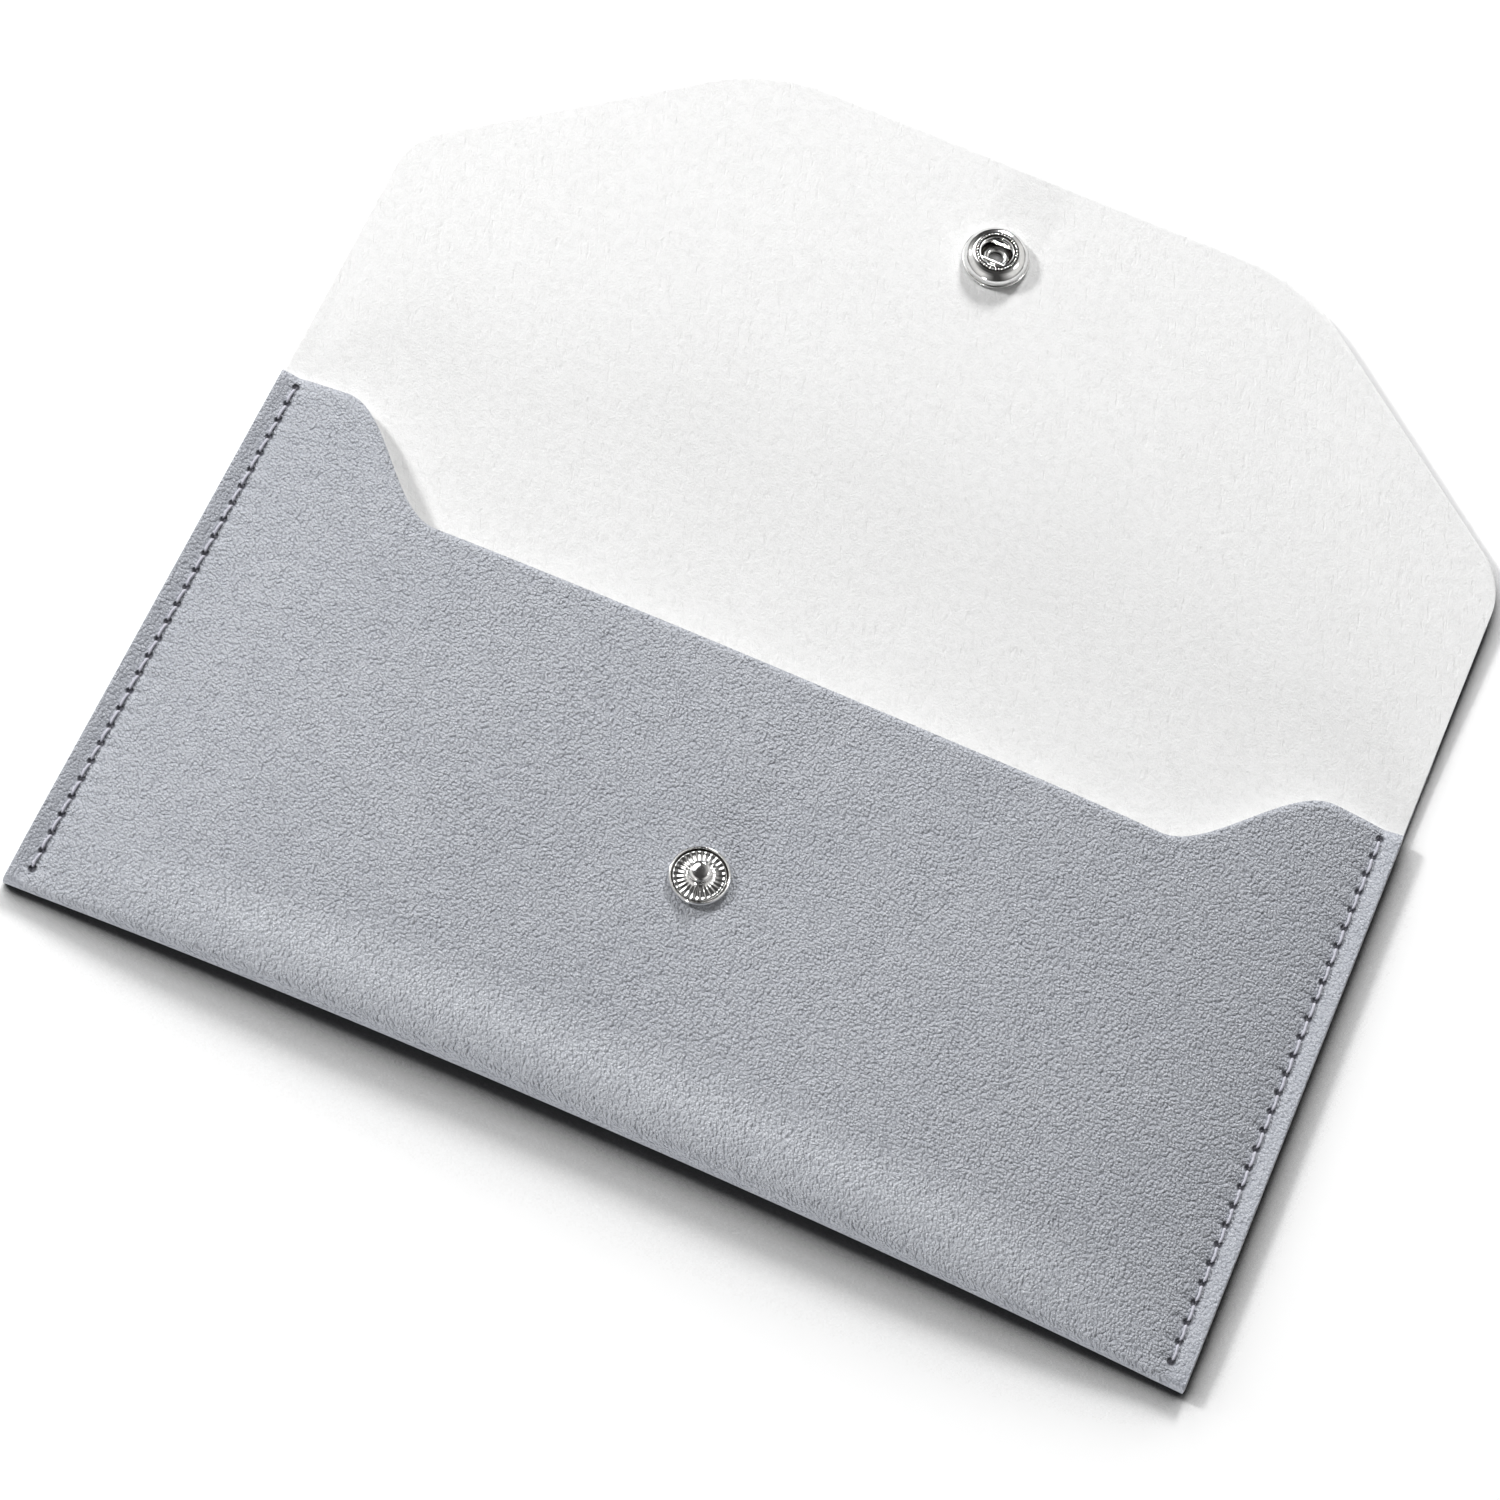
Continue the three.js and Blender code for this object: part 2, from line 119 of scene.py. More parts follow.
def newMaterial(name):
    material = bpy.data.materials.new(name)
    material.use_nodes = True
    material.node_tree.nodes.clear()
    return material, material.node_tree


def addNode(tree, kind, values=None, **settings):
    made = tree.nodes.new(kind)
    for key, value in settings.items():
        setattr(made, key, value)
    for key, value in (values or {}).items():
        if isinstance(value, bpy.types.NodeSocket):
            tree.links.new(value, made.inputs[key])
        else:
            made.inputs[key].default_value = value
    return made


def millimetres(tree, asMade=False):
    # asMade takes the place each point has in the open sheet, so the look turns with the flap
    if asMade:
        place = addNode(tree, "ShaderNodeAttribute", attribute_name="openPlace").outputs["Vector"]
    else:
        place = addNode(tree, "ShaderNodeTexCoord").outputs["Object"]
    return addNode(tree, "ShaderNodeMapping", {"Vector": place, "Scale": (1000, 1000, 1000)}).outputs[0]


def noise(tree, place, scale, detail=3.0, rough=0.55):
    made = addNode(tree, "ShaderNodeTexNoise",
                   {"Vector": place, "Scale": scale, "Detail": detail, "Roughness": rough})
    return made.outputs["Fac"]


def calc(tree, operation, first, second=0.5, clamp=False):
    made = addNode(tree, "ShaderNodeMath", {0: first, 1: second}, operation=operation, use_clamp=clamp)
    return made.outputs[0]


def times(tree, first, second):
    return calc(tree, "MULTIPLY", first, second)


def axes(tree, place):
    return addNode(tree, "ShaderNodeSeparateXYZ", {0: place}).outputs


def relief(tree, height, strength, depth):
    made = addNode(tree, "ShaderNodeBump", {"Height": height, "Strength": strength, "Distance": depth})
    return made.outputs[0]


def spreadOver(tree, value, low, high, toLow=0.0, toHigh=1.0):
    made = addNode(tree, "ShaderNodeMapRange", {"Value": value, "From Min": low, "From Max": high,
                                                "To Min": toLow, "To Max": toHigh})
    return made.outputs[0]


def mixColour(tree, share, first, second):
    made = addNode(tree, "ShaderNodeMix", data_type="RGBA")
    for key, value in ((0, share), (6, first), (7, second)):
        if isinstance(value, bpy.types.NodeSocket):
            tree.links.new(value, made.inputs[key])
        else:
            made.inputs[key].default_value = value
    return made.outputs[2]


def finishWith(tree, shader):
    output = addNode(tree, "ShaderNodeOutputMaterial")
    tree.links.new(shader.outputs[0], output.inputs[0])


# The one sheet of leather: front panel, bottom fold, back panel and flap
sheet = {
    "width": 190.0,
    "thick": 1.0,
    "bow": 1.8,
    "seamHeight": 95.5,
    "foldHeight": 102.3,
    "foldRadius": 3.4,
    "mouthHeight": 78.6,
    "mouthHalf": 60.6,
    "shoulderRun": 23.0,
    "crown": 5.2,
    "rollShare": 0.55,  # part of the crown that rolls down to the bottom fold
    "rollRun": 16.0,
    "crownFullness": 3.5,
    "crownHalf": 90.05,
    "parting": 0.1,
    "pressDepth": 0.52,  # stitches pull the sheet in
    "edgeFlare": 0.28,  # the two layers part a little at the cut edge
    "pressInside": 1.9,
    "pressOutside": 3.1,
    "flapSide": 40.8,
    "flapReach": 78.5,
    "flapEndHalf": 47.0,
    "sideCorner": 12.0,
    "endCorner": 31.0,
    "restTilt": 1.325,  # degrees
    "edgeRound": 0.14,
    "handWave": 0.10,  # unevenness of the panels
}

stitch = {
    "inset": 3.2,
    "count": 28,
    "firstHole": 3.5,
    "lastHole": 93.7,
    "radius": 0.235,
    "ply": 0.42,  # depth of the twist between the plies
    "twistPerStitch": 2.5,
    "holeRadius": 0.62,
    "lift": 0.03,  # thread above the leather's face
    "needleDip": 1.27,  # lowest point inside a hole
    "bobbinDip": 0.85,  # highest point inside a hole
}

# Snap, turned and pressed from plated sheet
snap = {
    "steps": 104,
    "seat": 0.1,
    "studHeight": 42.0,
    "studRadius": 4.75,
    "studRim": 0.85,
    "neckHeight": 1.85,
    "neckRadius": 1.32,
    "headRadius": 1.68,
    "studTop": 2.74,
    "flutes": 26,
    "fluteDepth": 0.085,
    "beads": 40,
    "beadRing": 3.24,
    "beadRadius": 0.215,
    "seatTop": 2.42,  # flat ring of the socket under the beads
    "bore": 2.6,
    "domeMiddle": 3.32,
    "domeReach": 1.97,
    "domeBase": 0.5,
    "domeRise": 1.9,
    "springHeight": 1.95,
    "springBar": 1.75,
    "springReach": 3.45,
    "wire": 0.22,
    # zones painted dark as shade, in the stud's groove, the socket's bore, the seat under its beads and
    # the cap's well: inner and outer radius, low and high end
    "studPaintedShade": [(4.1, 4.34, -1, 5)],
    "socketPaintedShade": [(-1, 2.67, -1, 2.3), (2.8, 3.62, 1.9, 2.5)],
    "capPaintedShade": [(-1, 1.2, -0.9, 1.5)],
}

frontOuter = 2 * sheet["thick"] + sheet["parting"] + sheet["crown"]
hingeHeight = sheet["thick"] + sheet["foldRadius"]
neckRise = frontOuter + snap["seat"] + snap["neckHeight"] - hingeHeight
matingRadius = sheet["foldRadius"] - snap["seat"] - snap["springHeight"]
studDistance = sheet["foldHeight"] - snap["studHeight"]
snapReach = math.sqrt(studDistance ** 2 + neckRise ** 2 - matingRadius ** 2)
originShift = sheet["seamHeight"] / 2
seamX = sheet["width"] / 2 - stitch["inset"]
holePitch = (stitch["lastHole"] - stitch["firstHole"]) / stitch["count"]


def layerGap(x):
    reach = np.minimum(np.abs(x) / sheet["crownHalf"], 1.0)
    return sheet["parting"] + sheet["crown"] * (1 - reach ** sheet["crownFullness"])


def bottomLine(x):
    return sheet["bow"] * (1 - (2 * x / sheet["width"]) ** 2)


def smooth(share):
    share = np.clip(share, 0, 1)
    return share * share * (3 - 2 * share)


def mouthLine(x):
    step = smooth((np.abs(x) - sheet["mouthHalf"]) / sheet["shoulderRun"])
    return sheet["mouthHeight"] + (sheet["seamHeight"] - sheet["mouthHeight"]) * step


def pressAcross(x):
    # a valley along the stitches: short slope towards the panel, long slope up to the cut edge
    away = np.abs(x) - seamX
    reach = np.where(away > 0, sheet["pressOutside"], sheet["pressInside"])
    slope = np.clip(1 - np.sqrt(away ** 2 + 0.04) / reach, 0, 1)
    return slope ** 1.25


def pressAlong(y, top):
    start = smooth((y - stitch["firstHole"] + 1.8) / 0.9)
    return start * smooth((top - y) / 0.9)


def roundedEnd(x):
    # far edge of the flap over x, counted from the fold line: straight end, slant and side,
    # with round corners between them
    half = sheet["width"] / 2
    slant = Vector((half - sheet["flapEndHalf"], sheet["flapSide"] - sheet["flapReach"])).normalized()
    endAngle = math.acos(slant.x)
    sideAngle = math.pi / 2 - endAngle
    endBack = sheet["endCorner"] * math.tan(endAngle / 2)
    sideBack = sheet["sideCorner"] * math.tan(sideAngle / 2)
    endCentre = (sheet["flapEndHalf"] - endBack, sheet["flapReach"] - sheet["endCorner"])
    endStop = sheet["flapEndHalf"] + endBack * slant.x
    sideStart = half - sideBack * slant.x
    sideCentre = (half - sheet["sideCorner"], sheet["flapSide"] - sideBack)
    away = np.abs(x)
    line = sheet["flapReach"] + (away - sheet["flapEndHalf"]) * slant.y / slant.x
    arc = endCentre[1] + np.sqrt(np.maximum(sheet["endCorner"] ** 2 - (away - endCentre[0]) ** 2, 0))
    side = sideCentre[1] + np.sqrt(np.maximum(sheet["sideCorner"] ** 2 - (away - sideCentre[0]) ** 2, 0))
    edge = np.where(away < endCentre[0], sheet["flapReach"], np.where(away < endStop, arc, line))
    return np.where(away > sideStart, side, edge)


def spacedAcross():
    # columns bunch up at the seams and at the round corners of the flap
    half = sheet["width"] / 2
    inner = np.linspace(0, half - sheet["sideCorner"], 60, endpoint=False)
    angles = np.linspace(0, math.pi / 2, 26)
    corner = half - sheet["sideCorner"] * (1 - np.sin(angles))
    seam = seamX + np.array([-1.9, -1.4, -1.0, -0.65, -0.38, -0.15, 0.1, 0.35, 0.62, 1.0, 1.5])
    right = np.unique(np.round(np.concatenate([inner, corner, seam]), 4))
    keep = [right[0]]
    for x in right[1:]:
        if x - keep[-1] > 0.08:
            keep.append(x)
    keep[-1] = half
    right = np.array(keep)
    return np.concatenate([-right[:0:-1], right])


def panelWave(x, y, seed):
    # slow hand-made unevenness, gone at the seams
    rest = 1 - (np.abs(x) / (sheet["width"] / 2)) ** 6
    wave = np.sin(x / 23 + seed) * np.cos(y / 17 + 2 * seed) + 0.6 * np.sin(x / 9.5 + y / 13 + 3 * seed)
    return sheet["handWave"] * rest * wave


def calmRound(x, y, middle, reach):
    # 0 under a snap piece, growing to 1 away from it
    return min(1.0, max(0.0, math.hypot(x, y - middle) - reach) / 12.0)


def sheetSection(x):
    # (y, outer z) and (y, inner z) down one column, from the mouth round the fold to the flap's end
    gap = float(layerGap(x))
    rise = sheet["rollShare"] * (gap - sheet["parting"])
    lean = math.atan(2 * rise / sheet["rollRun"])
    joinHeight = 2 * sheet["thick"] + gap - rise
    radius = joinHeight / (1 + math.cos(lean))
    innerRadius = radius - sheet["thick"]
    centre = float(bottomLine(x)) + radius
    joinY = centre - radius * math.sin(lean)
    top = float(mouthLine(x))
    press = sheet["pressDepth"] * float(pressAcross(x))
    flare = sheet["edgeFlare"] * float(smooth((abs(x) - seamX) / stitch["inset"]))
    rows = []
    for y in top + (joinY - top) * np.linspace(0, 1, 66):
        left = 1 - min((y - joinY) / sheet["rollRun"], 1)
        slope = math.atan(2 * rise / sheet["rollRun"] * left)
        stays = float(smooth((y - joinY) / 8))
        lift = (float(panelWave(x, y, 1.0)) * calmRound(x, y, snap["studHeight"], 6.0) + flare) * stays
        z = joinHeight + rise * (1 - left * left) + lift
        rows.append((y, z - press * float(pressAlong(y, sheet["seamHeight"] + 3)),
                     y + sheet["thick"] * math.sin(slope), z - sheet["thick"] * math.cos(slope)))
    for angle in np.linspace(math.pi / 2 - lean, -math.pi / 2, 22)[1:-1]:
        rows.append((centre - radius * math.cos(angle), radius + radius * math.sin(angle),
                     centre - innerRadius * math.cos(angle), radius + innerRadius * math.sin(angle)))
    foldStart = sheet["foldHeight"] - foldZone / 2
    for y in centre + (foldStart - centre) * np.linspace(0, 1, 56, endpoint=False):
        rows.append((y, press * float(pressAlong(y, stitch["lastHole"] + 1.8)), y, sheet["thick"]))
    end = sheet["foldHeight"] + float(roundedEnd(x))
    foldEnd = sheet["foldHeight"] + foldZone / 2
    for y in np.concatenate([np.linspace(foldStart, foldEnd, 24, endpoint=False),
                             foldEnd + (end - foldEnd) * np.linspace(0, 1, 60)]):
        rise = flapRise(y)
        ripple = float(panelWave(x, y, 4.0)) * smooth((y - foldEnd) / 20)
        lift = rise + 0.5 * abs(ripple) * calmRound(x, y, sheet["foldHeight"] + snapReach, 7.0)
        rows.append((y, lift, y, sheet["thick"] + lift))
    return rows


def flapRise(y):
    # the flap lies tilted on its cap; the tilt starts softly at the fold
    away = (y - sheet["foldHeight"]) / (foldZone / 2)
    soft = away if away > 1 else (0.0 if away < -1 else (away + 1) ** 2 / 4)
    return soft * foldZone / 2 * math.tan(math.radians(sheet["restTilt"]))


closedAngle = math.radians(frame["record"]["behaviour"]["joints"][0]["range_deg"][1])
foldZone = closedAngle * (sheet["foldRadius"] + sheet["thick"] / 2)


def makeLeather():
    stations = spacedAcross()
    columns = [sheetSection(x) for x in stations]
    rows = len(columns[0])
    points = np.zeros((len(stations), rows, 2, 3))
    for i, x in enumerate(stations):
        for j, (y, z, innerY, innerZ) in enumerate(columns[i]):
            points[i, j, 0] = (x, y - originShift, z)
            points[i, j, 1] = (x, innerY - originShift, innerZ)
    last = len(stations) - 1
    end = rows - 1
    rim = [(i, 0) for i in range(last)] + [(last, j) for j in range(end)]
    rim += [(i, end) for i in range(last, 0, -1)] + [(0, j) for j in range(end, 0, -1)]
    middles = []
    for i, j in rim:
        here = points[i, j].mean(axis=0)
        inside = points[min(max(i, 1), last - 1), min(max(j, 1), end - 1)].mean(axis=0)
        out = here - inside
        middles.append(here + out / np.linalg.norm(out) * sheet["edgeRound"])
    flat = np.concatenate([points.reshape(-1, 3), np.array(middles)]) * mm
    outer = lambda i, j: 2 * (i * rows + j)
    inner = lambda i, j: outer(i, j) + 1
    faces = []
    kinds = []
    for i in range(last):
        for j in range(end):
            faces.append((outer(i, j), outer(i, j + 1), outer(i + 1, j + 1), outer(i + 1, j)))
            faces.append((inner(i, j), inner(i + 1, j), inner(i + 1, j + 1), inner(i, j + 1)))
            kinds += [0, 1]
    firstMiddle = 2 * len(stations) * rows
    for k, (i, j) in enumerate(rim):
        nextI, nextJ = rim[(k + 1) % len(rim)]
        here = firstMiddle + k
        ahead = firstMiddle + (k + 1) % len(rim)
        faces.append((outer(i, j), outer(nextI, nextJ), ahead, here))
        faces.append((here, ahead, inner(nextI, nextJ), inner(i, j)))
        kinds += [2, 2]
    mesh = bpy.data.meshes.new("walletLeather")
    mesh.from_pydata(flat.tolist(), [], faces)
    mesh.polygons.foreach_set("material_index", kinds)
    mesh.polygons.foreach_set("use_smooth", [True] * len(faces))
    piece = bpy.data.objects.new("walletLeather", mesh)
    bpy.context.scene.collection.objects.link(piece)
    tidyNormals(mesh)
    kept = mesh.attributes.new("openPlace", "FLOAT_VECTOR", "POINT")
    kept.data.foreach_set("vector", flat.ravel())
    for finish in (greyLeather(), whiteNap(), rawEdge()):
        mesh.materials.append(finish)
    area = 0.0
    for polygon in mesh.polygons:
        if polygon.material_index == 1:
            area += polygon.area
    print("wallet: leather sheet", len(faces), "faces, flat area", round(area, 5))
    return piece, area


def tidyNormals(mesh):
    made = bmesh.new()
    made.from_mesh(mesh)
    bmesh.ops.recalc_face_normals(made, faces=made.faces)
    made.to_mesh(mesh)
    made.free()


# Leather finishes
leatherLook = {
    "grey": (0.418, 0.435, 0.476, 1),
    # colour of the painted shade in the grain's creases and on the seam band
    "greyPaintedShade": (0.275, 0.290, 0.335, 1),
    "greyPale": (0.450, 0.466, 0.506, 1),
    "paintedFoldHighlight": (0.585, 0.605, 0.650, 1),  # painted highlight: paler band along the bottom fold, where the roll would catch the light
    "paintedFoldHighlightMiddle": 7.5,  # from the bottom edge
    "paintedFoldHighlightReach": 7.0,
    "rough": 0.35,
    "grain": 2.6,  # pebbles to the millimetre
    "smallGrain": 1.9,  # how much finer the small pebbles are
    "grainDepth": 0.00046,
    "grainTurn": 0.75,  # the grain runs aslant, in longish pebbles
    "grainStretch": 0.74,
    "grainBend": 0.35,
    "sheen": 0.06,
    "nap": (0.872, 0.872, 0.869, 1),
    "napShade": (0.74, 0.74, 0.735, 1),
    "napDepth": 0.00014,
    "fleckTurn": 1.17,  # short drawn fibres in the nap run this way
    "edge": (0.62, 0.62, 0.63, 1),
    "edgeDark": (0.33, 0.34, 0.37, 1),
    # painted shade in the needle holes
    "pitShade": (0.03, 0.03, 0.045, 1),
}


def needlePits(tree, place):
    # pits: 1 at the middle of each needle hole, 0 away from it; across: distance outwards from the seam;
    # holes: number of the stitch along the seam
    split = axes(tree, place)
    across = calc(tree, "SUBTRACT", calc(tree, "ABSOLUTE", split[0]), seamX)
    along = calc(tree, "SUBTRACT", split[1], stitch["firstHole"] - originShift)
    holes = calc(tree, "DIVIDE", along, holePitch)
    nearest = calc(tree, "ROUND", holes)
    nearest = calc(tree, "MINIMUM", calc(tree, "MAXIMUM", nearest, 0.0), float(stitch["count"]))
    away = times(tree, calc(tree, "SUBTRACT", holes, nearest), holePitch)
    distance = calc(tree, "SQRT", calc(tree, "ADD", times(tree, across, across), times(tree, away, away)))
    radius = stitch["holeRadius"]
    return spreadOver(tree, distance, radius * 1.15, radius * 0.65), across, holes


def grainCells(tree, place):
    # domed pebbles, large and small, bent a little and drawn out aslant
    bend = addNode(tree, "ShaderNodeTexNoise", {"Vector": place, "Scale": 0.9, "Detail": 2.0})
    shifted = addNode(tree, "ShaderNodeVectorMath",
                      {0: bend.outputs["Color"], 1: [leatherLook["grainBend"]] * 3}, operation="MULTIPLY")
    bent = addNode(tree, "ShaderNodeVectorMath", {0: place, 1: shifted.outputs[0]}, operation="ADD")
    turned = addNode(tree, "ShaderNodeMapping",
                     {"Vector": bent.outputs[0], "Rotation": (0, 0, leatherLook["grainTurn"])})
    drawn = addNode(tree, "ShaderNodeMapping",
                    {"Vector": turned.outputs[0], "Scale": (leatherLook["grainStretch"], 1, 1)})
    cells = []
    for scale in (leatherLook["grain"], leatherLook["grain"] * leatherLook["smallGrain"]):
        cell = addNode(tree, "ShaderNodeTexVoronoi", {"Vector": drawn.outputs[0], "Scale": scale},
                       feature="F1")
        cells.append(calc(tree, "SUBTRACT", 1.0, calc(tree, "POWER", cell.outputs["Distance"], 2.0)))
    return cells


def paintedFoldHighlightShare(tree, place, medium):
    # share of the painted highlight, a paler band along the bottom fold that fades towards the seams
    split = axes(tree, place)
    squared = times(tree, split[0], split[0])
    bowed = times(tree, squared, sheet["bow"] * 4 / sheet["width"] ** 2)
    fromFold = calc(tree, "ADD", calc(tree, "ADD", split[1], bowed), originShift - sheet["bow"])
    away = calc(tree, "ABSOLUTE", calc(tree, "SUBTRACT", fromFold, leatherLook["paintedFoldHighlightMiddle"]))
    share = spreadOver(tree, away, leatherLook["paintedFoldHighlightReach"], 0.5)
    share = times(tree, share, spreadOver(tree, calc(tree, "ABSOLUTE", split[0]), 88.0, 55.0))
    return times(tree, share, spreadOver(tree, medium, 0.2, 0.6, 0.88, 1.0))


def puckerMarks(tree, across, holes, medium):
    # the leather is drawn in beside each stitch, on the panel's side of the seam
    ripple = calc(tree, "COSINE", times(tree, holes, 2 * math.pi))
    marks = calc(tree, "POWER", spreadOver(tree, ripple, -1.0, 1.0), 3.0)
    reach = calc(tree, "POWER", spreadOver(tree, across, -5.5, -0.3), 2.0)
    reach = times(tree, reach, spreadOver(tree, medium, 0.3, 0.65))
    return times(tree, times(tree, marks, reach), spreadOver(tree, across, 0.5, 0.0))


def greyLeather():
    material, tree = newMaterial("greyGrainLeather")
    place = millimetres(tree, asMade=True)
    pebble, smallPebble = grainCells(tree, place)
    slow = noise(tree, place, 0.045, 2.0)
    medium = noise(tree, place, 0.35, 3.0)
    fine = noise(tree, place, 4.5, 3.0)
    pits, across, holes = needlePits(tree, place)
    onSeam = spreadOver(tree, holes, stitch["count"] + 1.2, stitch["count"] + 0.4)
    band = times(tree, spreadOver(tree, across, -0.4, 0.6), onSeam)
    pucker = times(tree, puckerMarks(tree, across, holes, medium), onSeam)
    patch = spreadOver(tree, medium, 0.3, 0.75, 0.6, 1.0)
    grain = calc(tree, "ADD", times(tree, pebble, patch), times(tree, smallPebble, 0.3))
    calm = calc(tree, "SUBTRACT", 1.0, times(tree, band, 0.45))
    height = calc(tree, "ADD", times(tree, grain, calm), times(tree, fine, 0.12))
    height = calc(tree, "SUBTRACT", height, times(tree, pits, 1.6))
    height = calc(tree, "SUBTRACT", height, times(tree, pucker, 1.1))
    bump = relief(tree, height, 0.85, leatherLook["grainDepth"])
    tone = mixColour(tree, spreadOver(tree, slow, 0.3, 0.7), leatherLook["grey"], leatherLook["greyPale"])
    # painted highlight: the leather turns paler in a band along the bottom fold
    tone = mixColour(tree, paintedFoldHighlightShare(tree, place, medium), tone, leatherLook["paintedFoldHighlight"])
    # painted shade: darker in the creases between the pebbles
    creaseShade = spreadOver(tree, pebble, 0.45, 0.85, 0.45, 0.0)
    tone = mixColour(tree, creaseShade, tone, leatherLook["greyPaintedShade"])
    # painted shade: the seam band outside the stitches is darkened
    tone = mixColour(tree, times(tree, band, 0.22), tone, leatherLook["greyPaintedShade"])
    # painted shade: near-black in each needle hole, where the sheet has no real hole
    tone = mixColour(tree, pits, tone, leatherLook["pitShade"])
    rough = spreadOver(tree, pebble, 0.5, 1.0, leatherLook["rough"] + 0.16, leatherLook["rough"] - 0.05)
    shader = addNode(tree, "ShaderNodeBsdfPrincipled",
                     {"Base Color": tone, "Roughness": rough, "Normal": bump, "IOR": 1.48,
                      "Sheen Weight": leatherLook["sheen"], "Sheen Roughness": 0.5,
                      "Sheen Tint": (0.9, 0.92, 1.0, 1), "Specular IOR Level": 0.6})
    finishWith(tree, shader)
    return material


def whiteNap():
    material, tree = newMaterial("whiteNapBacking")
    place = millimetres(tree, asMade=True)
    fibre = noise(tree, place, 2.6, 4.0, 0.7)
    clump = noise(tree, place, 0.7, 3.0, 0.6)
    slow = noise(tree, place, 0.05, 2.0)
    turned = addNode(tree, "ShaderNodeMapping",
                     {"Vector": place, "Rotation": (0, 0, leatherLook["fleckTurn"])})
    drawn = addNode(tree, "ShaderNodeMapping", {"Vector": turned.outputs[0], "Scale": (0.38, 1.5, 1)})
    flecks = spreadOver(tree, noise(tree, drawn.outputs[0], 0.9, 2.0), 0.58, 0.80)
    height = calc(tree, "ADD", times(tree, fibre, 0.8), times(tree, clump, 0.6))
    height = calc(tree, "SUBTRACT", height, times(tree, flecks, 0.7))
    bump = relief(tree, height, 0.7, leatherLook["napDepth"])
    shade = times(tree, spreadOver(tree, clump, 0.62, 0.38), spreadOver(tree, fibre, 0.62, 0.42))
    tone = mixColour(tree, times(tree, shade, 0.5), leatherLook["nap"], leatherLook["napShade"])
    tone = mixColour(tree, spreadOver(tree, slow, 0.35, 0.7, 0.0, 0.12), tone, leatherLook["napShade"])
    tone = mixColour(tree, times(tree, flecks, 0.14), tone, leatherLook["napShade"])
    shader = addNode(tree, "ShaderNodeBsdfPrincipled",
                     {"Base Color": tone, "Roughness": 0.92, "Normal": bump,
                      "Sheen Weight": 0.25, "Sheen Roughness": 0.6, "Specular IOR Level": 0.15})
    finishWith(tree, shader)
    return material


def rawEdge():
    material, tree = newMaterial("rawCutEdge")
    place = millimetres(tree, asMade=True)
    layers = noise(tree, place, 3.5, 4.0, 0.7)
    slow = noise(tree, place, 0.4, 2.0)
    share = spreadOver(tree, layers, 0.35, 0.65)
    tone = mixColour(tree, share, leatherLook["edgeDark"], leatherLook["edge"])
    tone = mixColour(tree, spreadOver(tree, slow, 0.4, 0.7, 0.0, 0.4), tone, leatherLook["nap"])
    bump = relief(tree, layers, 0.6, 0.0001)
    shader = addNode(tree, "ShaderNodeBsdfPrincipled",
                     {"Base Color": tone, "Roughness": 0.85, "Normal": bump, "Specular IOR Level": 0.2})
    finishWith(tree, shader)
    return material


# Stitches: one twisted thread on each face of each seam
threadLook = {
    "colour": (0.66, 0.66, 0.72, 1),
    "shadow": (0.38, 0.38, 0.45, 1),
    "rough": 0.62,
    "sheen": 0.3,
}


def threadFinish():
    material, tree = newMaterial("greyLilacThread")
    place = millimetres(tree)
    strands = noise(tree, place, 9.0, 3.0, 0.6)
    slow = noise(tree, place, 0.8, 2.0)
    share = spreadOver(tree, strands, 0.35, 0.65)
    tone = mixColour(tree, share, threadLook["shadow"], threadLook["colour"])
    tone = mixColour(tree, spreadOver(tree, slow, 0.3, 0.7, 0.0, 0.25), tone, threadLook["shadow"])
    bump = relief(tree, strands, 0.7, 0.00005)
    shader = addNode(tree, "ShaderNodeBsdfPrincipled",
                     {"Base Color": tone, "Roughness": threadLook["rough"], "Normal": bump,
                      "Sheen Weight": threadLook["sheen"], "Sheen Roughness": 0.4})
    finishWith(tree, shader)
    return material


def makeThread(name, node, side, face, dip, finish):
    # face and dip are the thread's heights on the leather and inside a hole
    stepsEach = 14
    sides = 10
    total = stitch["count"] * stepsEach
    points = []
    for k in range(total + 1):
        place = k / stepsEach
        away = abs(place - round(place)) * holePitch
        sunk = 1 - float(smooth((away - 0.30) / 0.42))
        crest = 0.05 * math.sin(math.pi * (place % 1.0))
        lean = 0.16 * math.sin(math.pi * (place % 1.0)) + 0.06 * math.sin(2 * math.pi * place)
        height = face + (dip - face) * sunk + crest * (1 if dip < face else -1)
        y = stitch["firstHole"] + place * holePitch - originShift
        points.append((side * (seamX + lean), y, height))
    rings = []
    for k, (x, y, z) in enumerate(points):
        before = Vector(points[max(k - 1, 0)])
        after = Vector(points[min(k + 1, total)])
        along = (after - before).normalized()
        out = Vector((1, 0, 0))
        up = out.cross(along).normalized() * -1
        twist = 2 * math.pi * stitch["twistPerStitch"] * k / stepsEach
        ring = []
        for s in range(sides):
            angle = 2 * math.pi * s / sides
            lobes = 1 - stitch["ply"] * (0.5 + 0.5 * math.cos(2 * (angle - twist)))
            radius = stitch["radius"] * (0.55 + 0.6 * lobes)
            offset = out * math.cos(angle) + up * math.sin(angle)
            ring.append(Vector((x, y, z)) + offset * radius)
        rings.append(ring)
    vertices = [tuple(p * mm) for ring in rings for p in ring]
    faces = []
    for k in range(total):
        for s in range(sides):
            t = (s + 1) % sides
            faces.append((k * sides + s, k * sides + t, (k + 1) * sides + t, (k + 1) * sides + s))
    faces.append(tuple(range(sides))[::-1])
    faces.append(tuple(total * sides + s for s in range(sides)))
    piece = meshPiece(name, vertices, faces, finish)
    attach(piece, pocketBody)
    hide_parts(node)


